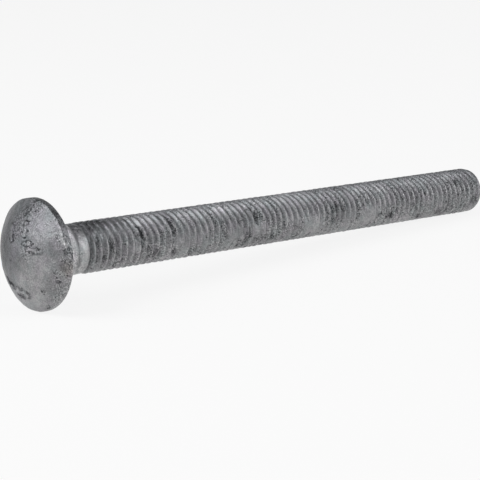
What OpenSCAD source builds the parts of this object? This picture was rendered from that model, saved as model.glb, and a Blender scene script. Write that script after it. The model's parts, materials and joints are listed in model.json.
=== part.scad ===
// Carriage bolt: round domed head, square neck, short plain band and a thread to the end.
// It is one cold-headed piece of steel with a hot-dipped zinc coat.
// It lies on the floor (z = 0) on the rim of its head and on its last thread crest,
// with the head towards -X and the thread's end towards +X.

/* [Head] */
// Diameter of the round head
head_d = 26.7; // [22:0.1:32]
// Height of the head, from its underside to the top of the dome
head_h = 6.4; // [4.5:0.1:9]
// Height of the upright rim between the underside and the dome
rim_h = 1.55; // [1:0.05:3]
// Rounding of the rim's upper edge, into the dome
rim_edge_r = 0.4; // [0.1:0.05:0.45]
// Rounding of the rim's lower edge, into the underside
seat_edge_r = 0.25; // [0.1:0.05:0.45]

/* [Square neck] */
// Width of the neck across its flats
neck_w = 12.8; // [12.4:0.1:15]
// Height of the neck, from the head's underside to where its corners end
neck_h = 7.4; // [5:0.1:10]
// Rounding of the neck's four upright corners
neck_corner_r = 1; // [0.2:0.1:3]
// Height over which the corners slope down to the shank
neck_slope_h = 2.9; // [0.4:0.1:4]
// Turn of the neck about the bolt's axis
neck_turn = 81; // [0:1:89]

/* [Shank and thread] */
// Length of the bolt, from the head's underside to the thread's end
bolt_length = 152.4; // [50:0.1:250]
// Diameter of the shank's plain band
shank_d = 12; // [11.4:0.1:12.4]
// Length of the plain band between the neck and the thread
band_h = 3.9; // [0.5:0.1:40]
// Diameter over the thread's crests, with the zinc on them
thread_d = 12.5; // [12:0.1:13]
// Threads to the inch
threads_per_inch = 13; // [9:1:20]
// Rounding of the edge at the thread's end
end_round_r = 1.9; // [0.4:0.1:3]

/* [Hidden] */
$fn = 96;

inch = 25.4;
head_r = head_d / 2;
neck_r = neck_w / 2;
shank_r = shank_d / 2;
thread_r = thread_d / 2;

// The dome is a sphere that leaves the head's top and would meet the rim at rim_h.
dome_h = head_h - rim_h;
dome_r = (head_r * head_r + dome_h * dome_h) / (2 * dome_h);
dome_z = head_h - dome_r;
// Centre of the circle that rounds the rim into the dome, touching both from inside
edge_x = head_r - rim_edge_r;
edge_z = dome_z + sqrt(pow(dome_r - rim_edge_r, 2) - edge_x * edge_x);

// Basic 60 degree inch thread: a crest flat of pitch/8, a root flat of pitch/4.
pitch = inch / threads_per_inch;
crest_w = pitch / 8;
root_w = pitch / 4;
flank_w = (pitch - crest_w - root_w) / 2;
thread_depth = flank_w / tan(30);
root_r = thread_r - thread_depth;
// The first groove starts where the band ends, and the last crest runs on to the rounded end.
thread_z0 = neck_h + band_h;
thread_z1 = bolt_length - end_round_r;
grooves = floor((thread_z1 - thread_z0 - crest_w) / pitch);

// At rest the bolt tips down about Y until its last crest meets the floor with the rim:
// drop_x * cos(tilt) + seat_edge_r = drop_z * sin(tilt).
seat_x = head_r - seat_edge_r;
drop_x = seat_x - thread_r;
drop_z = thread_z1 + seat_edge_r;
rest_tilt = atan2(drop_x, drop_z) + asin(seat_edge_r / norm([drop_x, drop_z]));
rest_z = thread_r * cos(rest_tilt) + thread_z1 * sin(rest_tilt);
// Reach of the dome towards -X and of the rounded end towards +X, so that X = 0 is mid-way
reach_head = dome_r + dome_z * cos(rest_tilt);
reach_end = (thread_r - end_round_r) * sin(rest_tilt) + thread_z1 * cos(rest_tilt) + end_round_r;
rest_x = (reach_head - reach_end) / 2;

// Points of an arc about a centre, anticlockwise from one angle to another.
function arc(centre, r, a0, a1, steps) =
    [for (i = [0 : steps]) let(a = a0 + (a1 - a0) * i / steps) centre + r * [cos(a), sin(a)]];

// Half section of the head, standing on its underside with the dome up.
module head_section() {
    shoulder = atan2(edge_z - dome_z, edge_x);
    dome_step = (90 - shoulder) / 16;
    polygon([[0, 0],
             each arc([seat_x, seat_edge_r], seat_edge_r, -90, 0, 6),
             each arc([edge_x, edge_z], rim_edge_r, 0, shoulder, 4),
             each arc([0, dome_z], dome_r, shoulder + dome_step, 90 - dome_step, 14),
             [0, head_h]]);
}

module head() {
    mirror([0, 0, 1]) rotate_extrude() head_section();
}

// Square with rounded corners, centred on the axis.
module neck_section() {
    flat = neck_w - 2 * neck_corner_r;
    square([neck_w, flat], center = true);
    square([flat, neck_w], center = true);
    for (x = [-1, 1], y = [-1, 1]) translate([x, y] * flat / 2) circle(r = neck_corner_r);
}

// The neck is rooted in the head by half the rim, and a cone slopes its corners down to
// the shank at neck_h and laps on into it.
module neck() {
    root = rim_h / 2;
    lap = neck_slope_h / 4;
    corner_r = (neck_r - neck_corner_r) * sqrt(2) + neck_corner_r;
    slope = (corner_r - shank_r) / neck_slope_h;
    full_h = root + neck_h + lap;
    rotate([0, 0, neck_turn]) translate([0, 0, -root]) intersection() {
        linear_extrude(full_h) neck_section();
        cylinder(r1 = shank_r + slope * (root + neck_h), r2 = shank_r - slope * lap, h = full_h);
    }
}

// One groove of the thread in half section, from the height z where the crest before it ends.
function groove(z) = [[root_r, z + flank_w], [root_r, z + flank_w + root_w],
                      [thread_r, z + pitch - crest_w]];

// Half section of the shank: the plain band, then the thread's grooves at the real pitch.
module shank_section() {
    band_end = thread_z0 + (thread_r - shank_r) * tan(30);
    polygon([[0, 0], [shank_r, 0], [shank_r, band_end],
             each [for (i = [0 : grooves - 1]) each [
                 if (i > 0) [thread_r, thread_z0 + i * pitch],
                 each groove(thread_z0 + i * pitch)]],
             [thread_r, thread_z1], [0, thread_z1]]);
}

// Half section of the thread's end: a flat face with a rounded edge.
module end_section() {
    square([thread_r - end_round_r, end_round_r]);
    intersection() {
        translate([thread_r - end_round_r, 0]) circle(r = end_round_r);
        square([thread_r, end_round_r]);
    }
}

module shank() {
    rotate_extrude() {
        shank_section();
        translate([0, thread_z1]) end_section();
    }
}

// The whole bolt, built upright with the head's underside at z = 0, then laid down at rest.
module bolt() {
    color("#8b8e8f") translate([rest_x, 0, rest_z]) rotate([0, 90 + rest_tilt, 0]) {
        head();
        neck();
        shank();
    }
}

bolt();
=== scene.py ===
import json
import math

import bpy
import numpy as np
from mathutils import Matrix, Vector


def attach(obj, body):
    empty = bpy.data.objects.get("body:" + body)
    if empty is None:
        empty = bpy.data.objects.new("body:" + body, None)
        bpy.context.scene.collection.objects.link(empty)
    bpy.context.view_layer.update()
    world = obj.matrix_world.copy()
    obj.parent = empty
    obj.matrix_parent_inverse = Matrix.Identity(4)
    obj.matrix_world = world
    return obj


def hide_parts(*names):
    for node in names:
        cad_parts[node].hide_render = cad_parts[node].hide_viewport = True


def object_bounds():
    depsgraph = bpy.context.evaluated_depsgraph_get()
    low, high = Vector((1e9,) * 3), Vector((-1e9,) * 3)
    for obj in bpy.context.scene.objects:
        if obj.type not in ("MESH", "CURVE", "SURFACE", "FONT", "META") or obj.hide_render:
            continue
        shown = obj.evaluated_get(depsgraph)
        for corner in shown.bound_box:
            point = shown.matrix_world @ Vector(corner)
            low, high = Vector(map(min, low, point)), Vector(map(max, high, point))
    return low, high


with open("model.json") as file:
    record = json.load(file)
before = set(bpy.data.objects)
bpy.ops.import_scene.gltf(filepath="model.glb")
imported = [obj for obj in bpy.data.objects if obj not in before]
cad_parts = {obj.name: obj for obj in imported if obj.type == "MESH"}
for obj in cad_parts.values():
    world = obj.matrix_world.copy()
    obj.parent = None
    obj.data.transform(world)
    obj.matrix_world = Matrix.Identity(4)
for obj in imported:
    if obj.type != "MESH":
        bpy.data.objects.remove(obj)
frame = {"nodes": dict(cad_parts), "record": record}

MM = 0.001
INCH = 25.4
TURN = 2 * math.pi

cad_low, cad_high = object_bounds()
mounts = {mount["name"]: mount for mount in frame["record"]["mounts"]}
axis = np.array(mounts["thread"]["axis"])
axis /= np.linalg.norm(axis)
side = np.array([0.0, 1.0, 0.0])
down = np.cross(side, axis)
seat = np.array(mounts["head_seat"]["pos_m"])
origin = seat - side * (seat @ side)

# ------------------------------------------------------------------ camera

VIEW_AZIMUTH = math.radians(-42.34)
VIEW_ELEVATION = math.radians(14.08)
VIEW_DISTANCE = 0.4561
FRAME_RIGHT = -0.00724
FRAME_UP = -0.00871
LENS_MM = 131.68
SENSOR_MM = 36.0


def make_camera():
    """A long lens that looks along the thread from the head's end, level with the horizon."""
    flat = math.cos(VIEW_ELEVATION)
    back = Vector((math.sin(VIEW_AZIMUTH) * flat, -math.cos(VIEW_AZIMUTH) * flat, math.sin(VIEW_ELEVATION)))
    turn = (-back).to_track_quat("-Z", "Y")
    aim = Vector((cad_low + cad_high) / 2) + turn @ Vector((FRAME_RIGHT, FRAME_UP, 0))
    data = bpy.data.cameras.new("camera")
    data.lens = LENS_MM
    data.sensor_width = SENSOR_MM
    data.clip_start = 0.01
    data.clip_end = 50
    camera = bpy.data.objects.new("camera", data)
    camera.location = aim + back * VIEW_DISTANCE
    camera.rotation_euler = turn.to_euler()
    bpy.context.scene.collection.objects.link(camera)
    bpy.context.scene.camera = camera


make_camera()

# ------------------------------------------------------------------ sizes


def bolt_sizes():
    """The CAD bolt measured about its own axis, from the height, radius and angle of its corners."""
    mesh = frame["nodes"]["bolt"].data
    corners = np.empty(len(mesh.vertices) * 3)
    mesh.vertices.foreach_get("co", corners)
    rel = (corners.reshape(-1, 3) - origin) / MM
    z = rel @ axis
    r = np.hypot(rel @ down, rel @ side)
    a = np.arctan2(rel @ side, rel @ down)
    neck = (z > 0) & (r < 0.8 * r.max()) & (r > 1.1 * mounts["thread"]["dims"]["r_mm"])
    corner = neck & (r > r[neck].max() - 0.02)
    dome = (z < z.min() / 2) & (r > 0.2 * r.max())
    rise = z[dome] - z.min()
    return {
        "head_r": r.max(),
        "head_h": -z.min(),
        "dome_r": np.median((r[dome] ** 2 + rise ** 2) / (2 * rise)),
        "neck_h": 2 * (np.array(mounts["square_neck"]["pos_m"]) - origin) @ axis / MM,
        "neck_corner_a": float(np.angle(np.exp(4j * a[corner]).mean()) / 4),
        "length": z.max(),
        "thread_r": mounts["thread"]["dims"]["r_mm"],
    }


size = bolt_sizes()
HEAD_R = size["head_r"]
HEAD_H = size["head_h"]
DOME_R = size["dome_r"]
NECK_H = size["neck_h"]
CORNER_A = size["neck_corner_a"]
LENGTH = size["length"]
THREAD_R = size["thread_r"]

# Roundings, the neck's slope, the waist, the band and the thread, as the zinc leaves them
RIM_EDGE = 0.45
SEAT_EDGE = 0.25
NECK_FLAT = 6.4
NECK_CORNER = 1.3
NECK_FILLET = 0.6
NECK_SLOPE_H = 2.9
NECK_CORNER_R = (NECK_FLAT - NECK_CORNER) * math.sqrt(2) + NECK_CORNER
WAIST_R = 5.9
WAIST_END = 2.2
BAND_R = 6.1
BAND_H = 3.9
THREAD_FOOT = NECK_H + BAND_H
END_ROUND = 1.9
PITCH = INCH / 13
THREAD_DEPTH = 0.54 * PITCH
THREAD_PHASE = 0.5
COAT = 0.04

# The side that drained last, and directions about the axis in degrees: the side that faces the
# camera, the rim's side that faces up, the place where it glints and the thread's upper edge
LOW_SIDE = math.radians(-45)
FACING = -115
UPWARD = -160
GLINT = -118
UPPER_EDGE = -178

# ------------------------------------------------------------------ fields on the surface

WAVES = 24


def bolt_frame(z, r, a):
    """Points in the bolt's own frame: x = r cos a, y = r sin a, z."""
    z, r, a = np.broadcast_arrays(z, r, a)
    return np.stack([r * np.cos(a), r * np.sin(a), z], -1)


def in_world(points):
    """Points of the bolt's own frame in metres in the CAD frame."""
    return origin + MM * (points[..., :1] * down + points[..., 1:2] * side + points[..., 2:] * axis)


def wavy(points, wavelength, seed):
    """A smooth random field, nearly always from -1 to 1: a sum of cosines of the position along
    seeded directions, each with its own start and a wavelength near the given one."""
    rng = np.random.default_rng(seed)
    way = rng.normal(size=(3, WAVES))
    way *= TURN / wavelength * rng.uniform(0.6, 1.5, WAVES) / np.linalg.norm(way, axis=0)
    return np.cos(points @ way + rng.uniform(0, TURN, WAVES)).sum(-1) / math.sqrt(2 * WAVES)


def smooth(low, high, x):
    """0 below low, 1 above high, and 3t^2 - 2t^3 between them."""
    t = np.clip((x - low) / (high - low), 0, 1)
    return t * t * (3 - 2 * t)


def round_max(x, y, softness):
    """The larger of two values, rounded where they cross."""
    return (x + y + np.sqrt((x - y) ** 2 + softness ** 2)) / 2


def round_min(x, y, softness):
    """The smaller of two values, rounded where they cross."""
    return -round_max(-x, -y, softness)


def near_angle(a, degrees):
    """Angle from a direction in radians, from minus to plus half a turn."""
    return (a - math.radians(degrees) + TURN / 2) % TURN - TURN / 2


# ------------------------------------------------------------------ shank


def square_radius(a):
    """Radius of the neck's square with rounded corners: on a flat its distance over the cosine of
    the angle from it, and near a corner the far crossing of the ray with that corner's circle."""
    from_corner = np.abs((a - CORNER_A + TURN / 8) % (TURN / 4) - TURN / 8)
    from_flat = TURN / 8 - from_corner
    reach = (NECK_FLAT - NECK_CORNER) * math.sqrt(2)
    chord = np.sqrt(np.maximum(NECK_CORNER ** 2 - (reach * np.sin(from_corner)) ** 2, 0))
    on_corner = NECK_FLAT * np.tan(from_flat) > NECK_FLAT - NECK_CORNER
    return np.where(on_corner, reach * np.cos(from_corner) + chord, NECK_FLAT / np.cos(from_flat))


# Dross along the shank: height, angle, half length in mm, half width in degrees, darkness
DROSS = [
    (7, 180, 5, 40, 0.4), (14, -180, 6, 25, 0.4), (13, -150, 1.5, 10, 0.3), (13, -115, 0.8, 20, 0.2),
    (15, -70, 0.6, 10, 0.3), (17, -100, 0.8, 25, 0.25), (19, -35, 0.8, 10, 0.3),
    (22, -75, 0.6, 25, 0.3), (24, -50, 0.6, 20, 0.3), (26, -115, 1.2, 35, 0.45),
    (28, -80, 0.8, 12, 0.35), (31, -60, 2.5, 15, 0.25), (36, -130, 1, 30, 0.35),
    (37, -60, 0.8, 15, 0.35), (43, -45, 1.2, 12, 0.3), (53, -90, 1, 20, 0.2), (60, -45, 2, 10, 0.3),
    (61, -70, 1.5, 20, 0.4), (64, -110, 1, 25, 0.4), (66, -60, 2.5, 12, 0.3), (70, -55, 2, 10, 0.35),
    (79, -45, 1.2, 10, 0.3), (84, -40, 2, 12, 0.3), (94, -110, 3, 15, 0.3), (98, -170, 2, 15, 0.3),
    (110, -75, 1.2, 10, 0.35), (114, -65, 2, 12, 0.5), (125, -110, 0.8, 15, 0.3),
    (127, -45, 2, 12, 0.5), (137, -45, 3, 15, 0.3), (142, -130, 2, 12, 0.3), (149, -75, 2, 15, 0.3)
]


def far_patches(count, seed, low, high):
    """Patches at seeded places on the far side of the thread, as rows of height, angle and values
    that lie evenly between the low and the high ones."""
    rng = np.random.default_rng(seed)
    place = rng.uniform((16, -10), (150, 160), (count, 2))
    return np.hstack([place, rng.uniform(low, high, (count, len(low)))]).tolist()


# Smooth runs of zinc on the shank, and pale spots that add no zinc and are painted highlights:
# height, angle, reach in mm, how much fuller, how much paler
RUNS_AND_HIGHLIGHTS = [
    (13, -160, 7, 0.6, -0.18), (21, -160, 5, 0.5, -0.12), (25, -90, 3, 0.3, 0.02),
    (27, -150, 2, 0, 0.15), (30, -150, 2.5, 0, 0.06), (35, -145, 4, 0.2, -0.1),
    (40, -90, 5, 0.15, -0.02), (46, -150, 3, 0, 0.06), (46, -80, 4, 0.1, -0.02),
    (53, -150, 3, 0, 0.08), (56, -90, 4, 0.15, 0), (65, -90, 3, 0.3, 0), (79, -150, 9, 0, 0.06),
    (84, -70, 6, 0.2, 0), (97, -85, 5, 0.1, -0.02), (105, -70, 5, 0.35, 0)
]
FAR_DROSS = far_patches(36, 61, (0.7, 8, 0.2), (2.2, 28, 0.4))
FAR_RUNS = far_patches(12, 62, (3, 0, -0.1), (8, 0.3, 0.05))


def near_run(z, a, height, degrees, reach):
    """Share from 0, beyond the reach of a place on the shank, to 1 near it."""
    across = THREAD_R * near_angle(a, degrees)
    return 1 - smooth(0.3, 1.0, np.hypot(z - height, across) / reach)


def flooding(z, a):
    """How full of zinc the thread's groove is, from 0 to 1: most on the side that drained last,
    less next to the neck, and in patches and runs."""
    points = bolt_frame(z, THREAD_R, a)
    low = smooth(0.4, 1.1, np.cos(a - LOW_SIDE)) * (0.3 + 0.7 * smooth(20, 34, z))
    patches = 0.2 * wavy(points * [1, 1, 0.5], 9.0, 11) + 0.12 * wavy(points, 2.5, 12)
    full = 0.06 + 0.6 * low + patches * (0.4 + 0.6 * low) + 0.3 * smooth(LENGTH - 8, LENGTH - 2, z)
    for height, degrees, reach, fuller, _ in RUNS_AND_HIGHLIGHTS + FAR_RUNS:
        full = full + fuller * near_run(z, a, height, degrees, reach)
    return np.clip(full, 0.0, 0.9)


def dross_at(points, z, a):
    """Darkness and grit of the dross, from 0 at a patch's edge, where waves break it up, inwards."""
    dark = np.zeros(z.shape)
    grit = np.zeros(z.shape)
    waves = 0.45 * wavy(points, 1.8, 51) + 0.55 * wavy(points, 0.7, 52)
    for height, degrees, length, width, darkness in DROSS + FAR_DROSS:
        turned = near_angle(a, degrees)
        climb = height + PITCH * turned / TURN
        near = 1 - np.hypot((z - climb) / length, turned / math.radians(width))
        share = smooth(0.0, 0.6, near + waves * smooth(-0.1, 0.2, near))
        dark = np.maximum(dark, darkness * share)
        grit = np.maximum(grit, share)
    return dark, grit


def thread_height(z, a):
    """Height of the coated thread, from 0 at the root to 1 at the crest, as half a cosine of the
    place in the pitch. The place moves on by one pitch a turn: a right-handed helix."""
    turns = (z - THREAD_FOOT) / PITCH - a / TURN - THREAD_PHASE
    return 0.5 + 0.5 * np.cos(TURN * turns)


def shank_radius(z, a):
    """Radius below the head: square neck, waist, plain band, thread, each blended into the next."""
    points = bolt_frame(z, THREAD_R, a)
    band = WAIST_R + (BAND_R - WAIST_R) * np.sin(TURN / 2 * np.clip((z - NECK_H) / (BAND_H - 0.6), 0, 1))
    cone = band + (NECK_CORNER_R - BAND_R) * (NECK_H - z) / NECK_SLOPE_H
    plain = round_max(round_min(square_radius(a), cone, 0.3), band, 0.2)
    height = round_min(round_max(thread_height(z, a), flooding(z, a), 0.12), 1.0, 0.1)
    threaded = THREAD_R + COAT - (1 - height) * THREAD_DEPTH + 0.035 * wavy(points, 1.4, 21)
    start = smooth(THREAD_FOOT - 1.2, THREAD_FOOT - 0.4, z)
    radius = plain * (1 - start) + threaded * start
    lumps = 0.07 * dross_at(points, z, a)[1] * wavy(points, 1.3, 23)
    return radius + 0.03 * wavy(points, 3.5, 22) + lumps


# ------------------------------------------------------------------ head

# Ragged lumps of zinc on the head: radius, angle, length in mm, turn from the radius, width in mm
LUMPS = [
    (6, 150, 3, 15, 1.5), (7, 195, 2.5, -30, 1.3), (5, 220, 1.5, 40, 1.2), (6, 245, 3, 30, 1.2),
    (9, 35, 3, 75, 1.3), (8.5, 0, 3.5, 100, 1.4), (10, 10, 2.5, 80, 1)
]
LUMP_HEIGHT = 0.3

# The lumps lie where z is less than the first height, and the rim's upper edge is at the second
DOME_Z = -2
RIM_TOP_Z = -1.75


def from_lumps(points):
    """Distance outside the ragged edge of the nearest lump, a straight strip with round ends moved
    in and out by waves; it is negative inside."""
    nearest = np.full(points.shape[:-1], HEAD_R)
    x, y = points[..., 0], points[..., 1]
    for radius, degrees, length, turned, width in LUMPS:
        middle = bolt_frame(0.0, radius, math.radians(degrees))
        way = bolt_frame(0.0, 1.0, math.radians(degrees + turned))
        along = (x - middle[0]) * way[0] + (y - middle[1]) * way[1]
        across = (y - middle[1]) * way[0] - (x - middle[0]) * way[1]
        beyond = along - np.clip(along, -length / 2, length / 2)
        nearest = np.minimum(nearest, np.hypot(beyond, across) - width / 2)
    return nearest + 0.35 * wavy(points, 1.6, 34) + 0.2 * wavy(points, 0.8, 35)


def head_path(rows):
    """The head's section from its top to the underside, as heights, radii and outward normals:
    the dome's arc, the arc of the rim's upper edge, the upright rim and its lower edge."""
    edge_r = HEAD_R - RIM_EDGE
    seat_r = HEAD_R - SEAT_EDGE
    dome_z = DOME_R - HEAD_H
    edge_z = dome_z - math.sqrt((DOME_R - RIM_EDGE) ** 2 - edge_r ** 2)
    shoulder = math.asin(edge_r / (DOME_R - RIM_EDGE))
    dome_t = np.linspace(0, shoulder, rows)[1:]
    upper_t = np.linspace(shoulder, TURN / 4, UPPER_EDGE_ROWS)[1:]
    lower_t = np.linspace(TURN / 4, TURN / 2, LOWER_EDGE_ROWS)
    t = np.concatenate([dome_t, upper_t, lower_t])
    centre_z = np.concatenate([dome_t * 0 + dome_z, upper_t * 0 + edge_z, lower_t * 0 - SEAT_EDGE])
    centre_r = np.concatenate([dome_t * 0, upper_t * 0 + edge_r, lower_t * 0 + seat_r])
    arc_r = np.concatenate([dome_t * 0 + DOME_R, upper_t * 0 + RIM_EDGE, lower_t * 0 + SEAT_EDGE])
    return centre_z - arc_r * np.cos(t), centre_r + arc_r * np.sin(t), -np.cos(t), np.sin(t)


def head_relief(z, r, a):
    """How far the zinc stands off the head's true form: long waves, short waves, ragged lumps."""
    points = bolt_frame(z, r, a)
    waves = 0.05 * wavy(points, 7.0, 31) + 0.025 * wavy(points, 2.2, 32) + 0.012 * wavy(points, 0.9, 33)
    return waves + LUMP_HEIGHT * smooth(0.2, -0.3, from_lumps(points)) * (z < DOME_Z)


# ------------------------------------------------------------------ mesh

# Columns and rows of points, and the ring under the head where the number of columns halves
HEAD_COLUMNS = 192
COLUMNS = 96
DOME_ROWS = 84
UPPER_EDGE_ROWS = 7
LOWER_EDGE_ROWS = 9
RING_ROWS = 4
FILLET_ROWS = 6
END_ROWS = 10
RING_OUT = 11.8
RING_IN = 10.8
ROWS_PER_PITCH = 10
THREAD_START = THREAD_FOOT - 1.0

# How strongly columns gather at the neck's corners and rows at the crests, and the end's hollow
CORNER_GATHER = 0.55
CREST_GATHER = 0.35
END_HOLLOW = 0.12
END_MIDDLE = 0.15


def quads(a, b, c, d):
    """Two triangles for each four-cornered face."""
    return np.stack([a, b, c, a, c, d], -1).reshape(-1, 3)


def tube(rows, columns):
    """Triangles between neighbouring rows of a closed tube, its points numbered row by row."""
    i, j = np.mgrid[0:rows - 1, 0:columns]
    here = i * columns + j
    beside = i * columns + (j + 1) % columns
    return quads(here, beside, beside + columns, here + columns)


def spiral(rows, columns, rows_per_turn):
    """Triangles of a tube whose rows climb, so that a row's last column meets the first column
    of the row that lies rows_per_turn further on."""
    i, j = np.mgrid[0:rows - 1, 0:columns]
    climbed = (j + 1) // columns * rows_per_turn
    beside = np.minimum(i + climbed, rows - 1) * columns + (j + 1) % columns
    beyond = np.minimum(i + 1 + climbed, rows - 1) * columns + (j + 1) % columns
    return quads(i * columns + j, beside, beyond, (i + 1) * columns + j)


def fan(middle, first, columns):
    """Triangles between a middle point and a ring of points numbered from first."""
    here = np.arange(columns)
    return np.stack([here * 0 + middle, first + here, first + (here + 1) % columns], -1)


def head_surface():
    """Dome, rim and underside: the head's path turned about the axis, pushed out along its normal
    by the relief, with one point at the top."""
    z, r, out_z, out_r = (part[:, None] for part in head_path(DOME_ROWS))
    a = (CORNER_A + TURN * np.arange(HEAD_COLUMNS) / HEAD_COLUMNS)[None, :]
    relief = head_relief(z, r, a) * smooth(0, -0.3, z)
    rows = bolt_frame(z + out_z * relief, r + out_r * relief, a)
    under = bolt_frame(0.0, np.linspace(HEAD_R - SEAT_EDGE, RING_OUT, RING_ROWS)[1:, None], a)
    rows = np.concatenate([rows, under])
    top = np.array([[0, 0, -HEAD_H - head_relief(-HEAD_H, 0.0, 0.0)]])
    cap = fan(0, 1, HEAD_COLUMNS)[:, [0, 2, 1]]
    faces = np.concatenate([cap, 1 + tube(len(rows), HEAD_COLUMNS)])
    return np.concatenate([top, rows.reshape(-1, 3)]), faces


def under_ring():
    """A flat ring under the head that halves the number of columns, three triangles to each."""
    j = np.arange(COLUMNS)
    outer = bolt_frame(0.0, RING_OUT, CORNER_A + TURN * np.arange(HEAD_COLUMNS) / HEAD_COLUMNS)
    inner = bolt_frame(0.0, RING_IN, shank_angles(0.0))
    left, mid, right = 2 * j, 2 * j + 1, (2 * j + 2) % HEAD_COLUMNS
    near, far = HEAD_COLUMNS + j, HEAD_COLUMNS + (j + 1) % COLUMNS
    faces = np.concatenate([np.stack(corner, -1) for corner in
                            ((left, mid, near), (mid, far, near), (mid, right, far))])
    return np.concatenate([outer, inner]), faces


def shank_angles(gather):
    """Angles of the columns: even where gather is 0, as along the thread, and drawn towards the
    corners of the neck by a sine of four times the angle as it grows."""
    even = TURN * np.arange(COLUMNS) / COLUMNS
    return CORNER_A + even - gather * np.sin(4 * even) / 4


def neck_surface(end):
    """Underside, fillet, neck, waist and band up to the height end: the fillet is a quarter circle
    added to the neck's radius, and above it the rows stand level."""
    bend = np.linspace(0, TURN / 4, FILLET_ROWS)[:, None]
    slope_z = NECK_H - NECK_SLOPE_H - 0.5
    upright = np.concatenate([np.linspace(NECK_FILLET, slope_z, 8)[1:],
                              np.linspace(slope_z, NECK_H + WAIST_END, 26)[1:],
                              np.linspace(NECK_H + WAIST_END, end, 5)[1:]])[:, None]
    flat = np.linspace(0, 1, RING_ROWS)[:-1, None]
    a = shank_angles(CORNER_GATHER * flat)
    under = bolt_frame(0.0, RING_IN * (1 - flat) + (square_radius(a) + NECK_FILLET) * flat, a)
    a = shank_angles(CORNER_GATHER)
    z = NECK_FILLET * (1 - np.cos(bend))
    fillet = bolt_frame(z, shank_radius(z, a) + NECK_FILLET * (1 - np.sin(bend)), a)
    above = shank_angles(CORNER_GATHER * (1 - smooth(NECK_H, NECK_H + WAIST_END, upright)))
    rows = np.concatenate([under, fillet, bolt_frame(upright, shank_radius(upright, above), above)])
    return rows.reshape(-1, 3), tube(len(rows), COLUMNS)


def thread_surface(start, end):
    """The thread from start to end, as distances s along its outer profile: each row follows the
    helix, s rising one pitch a turn, and is held between the two ends. Rows crowd at the crest by
    a sine. On the rounded end z = R sin t and the radius is at most the thread's less R(1 - cos t)."""
    spaced = np.arange(ROWS_PER_PITCH) / ROWS_PER_PITCH
    spaced = np.round(COLUMNS * (spaced - CREST_GATHER * np.sin(TURN * spaced) / TURN)) / COLUMNS
    turns = math.ceil((end - start) / PITCH) + 4
    steps = (np.arange(turns)[:, None] + spaced[None, :]).reshape(-1, 1)
    even = np.arange(COLUMNS)[None, :] / COLUMNS
    first = math.floor((start - THREAD_FOOT) / PITCH - THREAD_PHASE) - 2
    s = THREAD_FOOT + PITCH * (THREAD_PHASE + CORNER_A / TURN + first + steps + even)
    s = np.clip(s, start, end)
    a = CORNER_A + TURN * even
    t = np.maximum(s - (LENGTH - END_ROUND), 0) / END_ROUND
    z = np.where(t > 0, LENGTH - END_ROUND + END_ROUND * np.sin(t), s)
    limit = THREAD_R - END_ROUND * (1 - np.cos(t))
    radius = np.minimum(shank_radius(z, a), np.where(t > 0, limit, THREAD_R + 1))
    return bolt_frame(z, radius, a).reshape(-1, 3), spiral(len(s), COLUMNS, ROWS_PER_PITCH)


def end_surface():
    """The flat end: rings that shrink to one point, with a shallow hollow in the middle."""
    a = CORNER_A + TURN * np.arange(COLUMNS)[None, :] / COLUMNS
    share = np.linspace(1, 0, END_ROWS)[:-1, None]
    r = (THREAD_R - END_ROUND) * share
    points = bolt_frame(LENGTH, r, a)
    waves = 0.05 * (1 - share) * (0.5 + 0.5 * wavy(points, 2.0, 41))
    dent = END_HOLLOW * (1 - smooth(0, 0.8, share)) + waves
    rows = bolt_frame(LENGTH - dent, r, a)
    middle = np.array([[0, 0, LENGTH - END_MIDDLE]])
    cap = fan(len(rows) * COLUMNS, (len(rows) - 1) * COLUMNS, COLUMNS)
    faces = np.concatenate([tube(len(rows), COLUMNS), cap])
    return np.concatenate([rows.reshape(-1, 3), middle]), faces


def sewn(surfaces):
    """One closed surface from several: equal points become one, and faces that shrank away go."""
    starts = np.cumsum([0] + [len(points) for points, _ in surfaces])
    points = np.concatenate([points for points, _ in surfaces])
    faces = np.concatenate([faces + start for (_, faces), start in zip(surfaces, starts)])
    keys = np.round(points * 1e5).astype(np.int64)
    _, first, same = np.unique(keys, axis=0, return_index=True, return_inverse=True)
    faces = same.reshape(-1)[faces]
    a, b, c = faces.T
    return points[first], faces[(a != b) & (b != c) & (c != a)]


# ------------------------------------------------------------------ finish


class Value:
    """A socket or a number in a shader, with arithmetic that adds Math nodes."""

    def __init__(self, shader, socket):
        self.shader = shader
        self.socket = socket

    def math(self, operation, other):
        return self.shader.node("ShaderNodeMath", {"operation": operation}, self, other)

    def __add__(self, other):
        return self.math("ADD", other)

    def __mul__(self, other):
        return self.math("MULTIPLY", other)

    def __sub__(self, other):
        return self.math("SUBTRACT", other)

    def __rsub__(self, other):
        return Value(self.shader, other).math("SUBTRACT", self)

    __radd__ = __add__
    __rmul__ = __mul__


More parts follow.
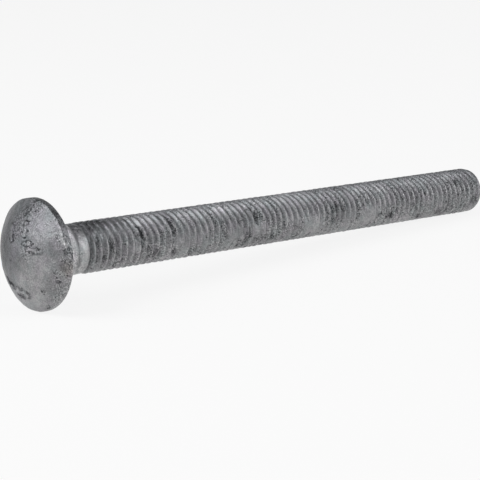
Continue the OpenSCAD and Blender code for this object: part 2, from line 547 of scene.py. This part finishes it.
class Shader:
    """One material's nodes."""

    def __init__(self, name):
        self.material = bpy.data.materials.new(name)
        self.material.use_nodes = True
        self.tree = self.material.node_tree
        self.tree.nodes.clear()

    def plug(self, socket, value):
        """Link an output to a socket, or set the socket to a plain value."""
        value = value.socket if isinstance(value, Value) else value
        if isinstance(value, bpy.types.NodeSocket):
            self.tree.links.new(value, socket)
        else:
            socket.default_value = value

    def node(self, kind, settings, *inputs, output=0, **named):
        """A node of one kind: its settings, then its inputs by place or by name; gives one output."""
        node = self.tree.nodes.new(kind)
        for key, value in settings.items():
            setattr(node, key, value)
        for key, value in enumerate(inputs):
            self.plug(node.inputs[key], value)
        for key, value in named.items():
            self.plug(node.inputs[key.replace("_", " ")], value)
        return Value(self, node.outputs[output]) if len(node.outputs) else None

    def noise(self, where, wavelength, detail=2.0, roughness=0.5):
        """Noise of about one wavelength in millimetres, from 0 to 1 with most of it near a half."""
        return self.node("ShaderNodeTexNoise", {"noise_dimensions": "3D"}, Vector=where,
                         Scale=1 / wavelength, Detail=detail, Roughness=roughness)

    def cells(self, where, wavelength, output=0):
        """Cells scattered at about one wavelength in millimetres: how far the cell's middle is, or
        with output 1 a random level for each cell."""
        return self.node("ShaderNodeTexVoronoi", {"voronoi_dimensions": "3D"}, output=output,
                         Vector=where, Scale=1 / wavelength)

    def step(self, value, low, high):
        """0 below low and 1 above high, smooth between them."""
        return self.node("ShaderNodeMapRange", {"interpolation_type": "SMOOTHSTEP"},
                         value, low, high, 0.0, 1.0)

    def ramp(self, value, low, high):
        """0 below low and 1 above high, straight between them."""
        return self.node("ShaderNodeMapRange", {}, value, low, high, 0.0, 1.0)

    def tinted(self, colour, tint):
        """A colour times a tint."""
        return self.node("ShaderNodeVectorMath", {"operation": "MULTIPLY"}, colour, tint)

    def mix(self, share, base, other):
        """Colour that goes from base to other as share goes from 0 to 1."""
        node = self.tree.nodes.new("ShaderNodeMix")
        node.data_type = "RGBA"
        self.plug(node.inputs[0], share)
        self.plug(node.inputs[6], base)
        self.plug(node.inputs[7], other)
        return Value(self, node.outputs[2])

    def attribute(self, name):
        """A value kept on the mesh's points."""
        return self.node("ShaderNodeAttribute", {"attribute_name": name}, output=2)


# The zinc's darkest, middle and palest colours, and the tints that lie over them
DARK_ZINC = (0.04, 0.0425, 0.0455, 1)
GREY_ZINC = (0.245, 0.25, 0.265, 1)
PALE_ZINC = (0.6, 0.606, 0.625, 1)
VIOLET_TINT = (1.04, 0.98, 1.03)
GREEN_TINT = (0.95, 1.02, 1.01)
WARM_TINT = (1.03, 1.0, 0.94)
BROWN_TINT = (0.88, 0.79, 0.72)

# Wavelengths of the coat's patterns and the height of its bumps, in mm
CLOUD_SIZE = 7.0
ROUGH_SIZE = 3.7
HUE_SIZE = 3.1
PATCH_SIZE = 1.8
PORE_SIZE = 0.5
GRAIN_SIZE = 0.36
BUMP_HEIGHT = 0.12


def zinc_coat():
    """Weathered hot-dip zinc. One tone from 0, charcoal, to 1, pale, is the shade kept on the points
    plus clouds, patches and grain; dark pores stand in its rougher areas. The shade kept on the
    points holds painted highlights and painted shade besides dross, runs and clouds."""
    shader = Shader("zinc_coat")
    turn = Matrix((down, side, axis))
    start = -(turn @ Vector(origin)) / MM
    place = shader.node("ShaderNodeTexCoord", {}, output=3)
    where = shader.node("ShaderNodeMapping", {"vector_type": "POINT"},
                        place, start, turn.to_euler(), (1 / MM,) * 3)
    shade = shader.attribute("shade")
    grit = shader.attribute("grit")
    warm = shader.attribute("warm")
    stain = shader.attribute("stain")

    cloud = shader.noise(where, CLOUD_SIZE) - 0.5
    patch = shader.noise(where, PATCH_SIZE, detail=3.0, roughness=0.6) - 0.5
    grain = shader.noise(where, GRAIN_SIZE, roughness=0.8) - 0.5
    hue = shader.noise(where, HUE_SIZE)
    rough = shader.noise(where, ROUGH_SIZE, detail=3.0, roughness=0.6) - 0.5 + grit
    rough = shader.step(rough, 0.38, 0.62)

    bend = shader.node("ShaderNodeTexNoise", {}, Vector=where, Scale=2.5, Detail=1.0, output=1)
    bent = shader.node("ShaderNodeVectorMath", {"operation": "ADD"}, where, bend)
    level = shader.cells(bent, PORE_SIZE, output=1) + rough * 0.4 + patch * 0.7
    pores = shader.step(shader.cells(bent, PORE_SIZE), 0.5, 0.25) * shader.step(level, 0.85, 1.1)
    tone = shade + cloud * 0.4 + patch * 0.4 + grain * (0.85 + rough * 1.2) - pores * 0.5
    colour = shader.mix(shader.ramp(tone, 0.0, 0.5), DARK_ZINC, GREY_ZINC)
    colour = shader.mix(shader.ramp(tone, 0.5, 1.0), colour, PALE_ZINC)
    violet = shader.step(hue, 0.5, 0.65) * 0.5
    green = shader.step(hue, 0.5, 0.35) * 0.5
    for share, tint in ((violet, VIOLET_TINT), (green, GREEN_TINT), (warm, WARM_TINT), (stain, BROWN_TINT)):
        colour = shader.mix(share, colour, shader.tinted(colour, tint))

    bumps = shader.node("ShaderNodeBump", {}, Strength=1.0, Distance=BUMP_HEIGHT * MM,
                        Height=grain + patch * 1.5 - pores * 0.3)
    bsdf = shader.node("ShaderNodeBsdfPrincipled", {}, Base_Color=colour, Metallic=0.85,
                       Roughness=0.38 + patch * 0.3 + grain * 0.3, Normal=bumps)
    shader.node("ShaderNodeOutputMaterial", {}, bsdf)
    return shader.material


def mesh_piece(name, points, faces, attributes, material):
    """A smooth closed piece from points in metres and triangles, with values kept on its points."""
    mesh = bpy.data.meshes.new(name)
    mesh.vertices.add(len(points))
    mesh.vertices.foreach_set("co", points.ravel())
    mesh.loops.add(faces.size)
    mesh.loops.foreach_set("vertex_index", faces.ravel().astype(np.int32))
    mesh.polygons.add(len(faces))
    mesh.polygons.foreach_set("loop_start", np.arange(0, faces.size, 3, dtype=np.int32))
    mesh.polygons.foreach_set("use_smooth", np.ones(len(faces), dtype=bool))
    mesh.update(calc_edges=True)
    mesh.validate()
    for key, values in attributes.items():
        mesh.attributes.new(key, "FLOAT", "POINT").data.foreach_set("value", values.astype(np.float32))
    mesh.materials.append(material)
    piece = bpy.data.objects.new(name, mesh)
    bpy.context.scene.collection.objects.link(piece)
    return piece


# Clouds on the head, many of them painted shade and painted light that set how bright its sides
# look: radius, angle, reach in mm, how much paler, how much grittier
CLOUDS_AND_PAINTED_LIGHT = [
    (12, -145, 5, -0.14, -0.15), (11, -140, 2, 0.05, 0.1), (11, 165, 7, -0.13, -0.2),
    (12, -170, 4, -0.05, 0.3), (9, 170, 4, 0, 0.3), (12, -60, 5, -0.03, 0.05), (7, -80, 6, 0.06, -0.2),
    (10, -110, 4, -0.1, -0.4), (13, -90, 2.5, -0.15, 0.1), (11, -25, 4, 0.04, -0.4),
    (8, 95, 13, -0.4, -0.3), (7, -25, 7, 0.07, -0.2), (4, -120, 3, 0, 0.3), (5, 170, 3, 0, 0.2)
]

# Dark specks on the head: radius, angle, reach in mm, darkness
SPECKS = [
    (10, -180, 1.2, 0.3), (11, 175, 1, 0.25), (13, -175, 0.9, 0.3), (13, -105, 0.9, 0.35),
    (12, -120, 0.9, 0.2), (11, -80, 0.9, 0.35), (12, -70, 0.9, 0.3), (10, -45, 0.7, 0.25),
    (13, -30, 0.9, 0.35), (3, 60, 0.7, 0.25)
]


def from_place(points, radius, degrees):
    """Distance from the place on the dome at a radius and an angle."""
    height = DOME_R - HEAD_H - math.sqrt(DOME_R ** 2 - radius ** 2)
    return np.linalg.norm(points - bolt_frame(height, radius, math.radians(degrees)), axis=-1)


def head_values(points, z, r, a):
    """Shade and grit that the head adds: painted shade on the rim where it faces up, a painted
    highlight with glints along its edge, pale lumps with edges of painted shade, clouds, many of them
    painted shade and light, and specks."""
    upright = smooth(-1.8, -1.5, z) * (1 - smooth(-0.1, 0.1, z))
    edge = smooth(0.35, 0.0, np.abs(z - RIM_TOP_Z)) * (r > 12)
    lump = np.where(z < DOME_Z, from_lumps(points), HEAD_R)
    lump_edge = smooth(-0.35, -0.1, lump) * smooth(0.45, 0.1, lump)
    # Painted shade on the upright rim where it faces up.
    shade = -0.16 * upright * smooth(0.1, 0.9, np.cos(near_angle(a, UPWARD)))
    # A painted highlight along the rim's upper edge on the side that faces the camera, with painted glints
    # on it.
    glint = smooth(0.3, 0.1, np.abs(near_angle(a, GLINT))) * smooth(-0.3, 0.8, wavy(points, 1.3, 53))
    shade += edge * (0.06 * smooth(0.5, 1.0, np.cos(near_angle(a, FACING))) + 0.35 * glint)
    # Painted shade at the foot of the lumps, round their edges.
    shade -= 0.34 * lump_edge * (1 + 0.6 * wavy(points, 0.9, 54))
    shade += 0.08 * smooth(-0.3, -0.45, lump)
    grit = 0.1 * upright - 0.05
    # Clouds: random tone and grit, and painted shade and light on the head's sides.
    for radius, degrees, reach, paler, grittier in CLOUDS_AND_PAINTED_LIGHT:
        share = 1 - smooth(0.2, 1.0, from_place(points, radius, degrees) / reach)
        shade += paler * share
        grit += grittier * share
    ragged = 0.4 * wavy(points, 0.8, 56)
    for radius, degrees, reach, darkness in SPECKS:
        share = smooth(1.0, 0.3, from_place(points, radius, degrees) / reach + ragged)
        shade -= darkness * share
        grit += 2 * darkness * share
    return shade, grit


def shank_values(points, z, r, a):
    """Shade and grit that the shank adds: paler crests and dark grooves, a painted highlight and
    painted shade; the darkest painted shade in the thread's run-out; painted shade on the thread's
    low side and upper edge; a pale neck and band with a soft dark line of painted shade between them;
    runs, some only pale spots that are painted highlights, and dross in the grooves."""
    on_thread = smooth(THREAD_FOOT - 0.9, THREAD_FOOT - 0.4, z) * (z < LENGTH - END_ROUND)
    depth = on_thread * np.clip((THREAD_R - r) / THREAD_DEPTH, 0, 1)
    # Paler crests and darker grooves by depth: a painted highlight on the crests, painted shade in the
    # grooves.
    shade = 0.08 * on_thread * smooth(0.5, 0.0, depth) - 0.2 * smooth(0.35, 1.0, depth)
    # Darker towards the low side: painted shade.
    shade += 0.03 - 0.1 * (0.5 + 0.5 * np.cos(a - LOW_SIDE)) ** 2 * on_thread
    # Darker along the thread's upper edge as the camera sees it, and a little darker on the side at -90
    # degrees: painted shade.
    shade -= 0.08 * on_thread * smooth(0.88, 1.0, np.cos(near_angle(a, UPPER_EDGE)))
    shade -= 0.02 * on_thread * smooth(0.7, 1.0, np.cos(near_angle(a, -90)))
    shade += 0.01 * on_thread * smooth(34, 20, z) - 0.09 * smooth(LENGTH - 12, LENGTH - 3, z)
    # Darkest in the first groove, at the thread's run-out: painted shade.
    shade -= 0.1 * smooth(0.9, 0.3, np.abs(z - THREAD_FOOT + 0.3))
    grit = on_thread * (0.08 * smooth(0.3, 1.0, np.cos(a - LOW_SIDE)) - 0.1 * smooth(34, 20, z))
    bare = smooth(NECK_FILLET, 1.5, z) * (1 - smooth(THREAD_FOOT - 1.9, THREAD_FOOT - 0.6, z))
    # The soft dark line in the valley between neck and band, on the side that faces the camera, is painted
    # shade.
    valley = smooth(0.8, 0.0, np.abs(z - NECK_H - 0.1)) * smooth(0.1, 0.7, np.cos(near_angle(a, FACING)))
    pale = 0.12 + 0.07 * smooth(NECK_H - 0.5, NECK_H + 0.8, z)
    # The band darker towards its low side: painted shade.
    pale = pale - 0.08 * smooth(0.3, 1.0, np.cos(a - LOW_SIDE))
    shade += bare * (pale - 0.16 * valley + 0.06 * wavy(points * [1, 1, 2], 2.0, 55))
    grit -= bare * (0.15 - 0.15 * smooth(0.3, 0.9, np.cos(a - LOW_SIDE)))
    # Paler or darker where the runs lie; the pale spots that add no zinc are painted highlights.
    for height, degrees, reach, _, paler in RUNS_AND_HIGHLIGHTS + FAR_RUNS:
        share = near_run(z, a, height, degrees, reach)
        shade += paler * share
        grit -= 0.2 * share
    dark, rough = dross_at(points, z, a)
    return shade - dark * (0.7 + 0.3 * smooth(0.1, 0.6, depth + bare)), grit + 0.5 * rough


# Middle of the brown stain on the rim: height, radius, angle
STAIN = (-1.3, 13.2, math.radians(-86))


def galvanised_bolt():
    """The whole bolt as one closed surface, with its shade, grit, warmth and stain on its points."""
    end = LENGTH - END_ROUND + END_ROUND * TURN / 4
    points, faces = sewn([head_surface(), under_ring(), neck_surface(THREAD_START),
                          thread_surface(THREAD_START, end), end_surface()])
    x, y, z = points.T
    a = np.arctan2(y, x)
    r = np.hypot(x, y)
    low = (0.5 + 0.5 * np.cos(a - LOW_SIDE)) ** 2
    head_shade, head_grit = head_values(points, z, r, a)
    shank_shade, shank_grit = shank_values(points, z, r, a)
    on_head = z < 0.3
    stained = np.linalg.norm(points - bolt_frame(*STAIN), axis=1)
    attributes = {
        "shade": 0.53 + np.where(on_head, head_shade, shank_shade),
        "grit": 0.5 + np.where(on_head, head_grit, shank_grit),
        "warm": low * 0.6,
        "stain": 0.55 * smooth(3.0, 0.5, stained),
    }
    piece = mesh_piece("galvanised_bolt", in_world(points), faces, attributes, zinc_coat())
    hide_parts("bolt")
    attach(piece, "root")


galvanised_bolt()

# ------------------------------------------------------------------ floor, lamps and world

# The floor in metres: its flat part's radius, its whole radius and the height of its wall
FLAT_R = 2
FLOOR_R = 4
WALL_H = 0.9
FLOOR_ROWS = 25
FLOOR_COLUMNS = 96

# How much of the floor's white the camera sees, how far off the lamps are, and the world's light
WHITE_SHARE = 0.85
LAMP_DISTANCE = 0.8
WORLD_STRENGTH = 0.355


def make_floor():
    """A wide pale round floor that the camera sees nearly white, with the bolt's soft shadow on it.
    Its height is a smooth step of the radius, so that it turns up into a low wall far out. Its
    points are rings about the Z axis in metres."""
    shader = Shader("floor")
    seen = shader.node("ShaderNodeLightPath", {}, output=0)
    glossy = shader.node("ShaderNodeLightPath", {}, output=3)
    through = shader.node("ShaderNodeLightPath", {}, output=6)
    white = shader.node("ShaderNodeEmission", {}, (1, 1, 1, 1), 1.0)
    lit = shader.node("ShaderNodeBsdfDiffuse", {}, (0.9, 0.9, 0.9, 1))
    share = (seen + glossy + through) * WHITE_SHARE
    shader.node("ShaderNodeOutputMaterial", {}, shader.node("ShaderNodeMixShader", {}, share, lit, white))
    r = np.concatenate([[FLAT_R / 4], np.linspace(FLAT_R, FLOOR_R, FLOOR_ROWS)])[:, None]
    a = TURN * np.arange(FLOOR_COLUMNS)[None, :] / FLOOR_COLUMNS
    rows = bolt_frame(WALL_H * smooth(FLAT_R, FLOOR_R, r), r, a)
    points = np.concatenate([np.zeros((1, 3)), rows.reshape(-1, 3)])
    faces = np.concatenate([fan(0, 1, FLOOR_COLUMNS), 1 + tube(len(rows), FLOOR_COLUMNS)[:, ::-1]])
    mesh_piece("floor", points, faces, {}, shader.material)


def make_lamp(name, towards, width, height, power):
    """A rectangular soft lamp that shines on the bolt's middle from a direction."""
    middle = Vector((cad_low + cad_high) / 2)
    data = bpy.data.lights.new(name, "AREA")
    data.shape = "RECTANGLE"
    data.size = width
    data.size_y = height
    data.energy = power
    lamp = bpy.data.objects.new(name, data)
    lamp.location = middle + Vector(towards).normalized() * LAMP_DISTANCE
    lamp.rotation_euler = (-Vector(towards)).to_track_quat("-Z", "Y").to_euler()
    bpy.context.scene.collection.objects.link(lamp)


def make_world():
    """An even grey surround that lights softly."""
    world = bpy.data.worlds.new("world")
    world.use_nodes = True
    background = world.node_tree.nodes["Background"]
    background.inputs["Color"].default_value = (1, 1, 1, 1)
    background.inputs["Strength"].default_value = WORLD_STRENGTH
    bpy.context.scene.world = world


make_floor()
make_lamp("left_lamp", (-0.78, 0.2, 0.66), width=0.5, height=0.5, power=3.0)
make_lamp("right_lamp", (0.5, -0.7, 0.5), width=0.4, height=0.4, power=1.5)
make_lamp("front_lamp", (0.2, -0.9, 0.3), width=0.6, height=0.5, power=0.8)
make_world()
bpy.context.scene.view_settings.view_transform = "Standard"
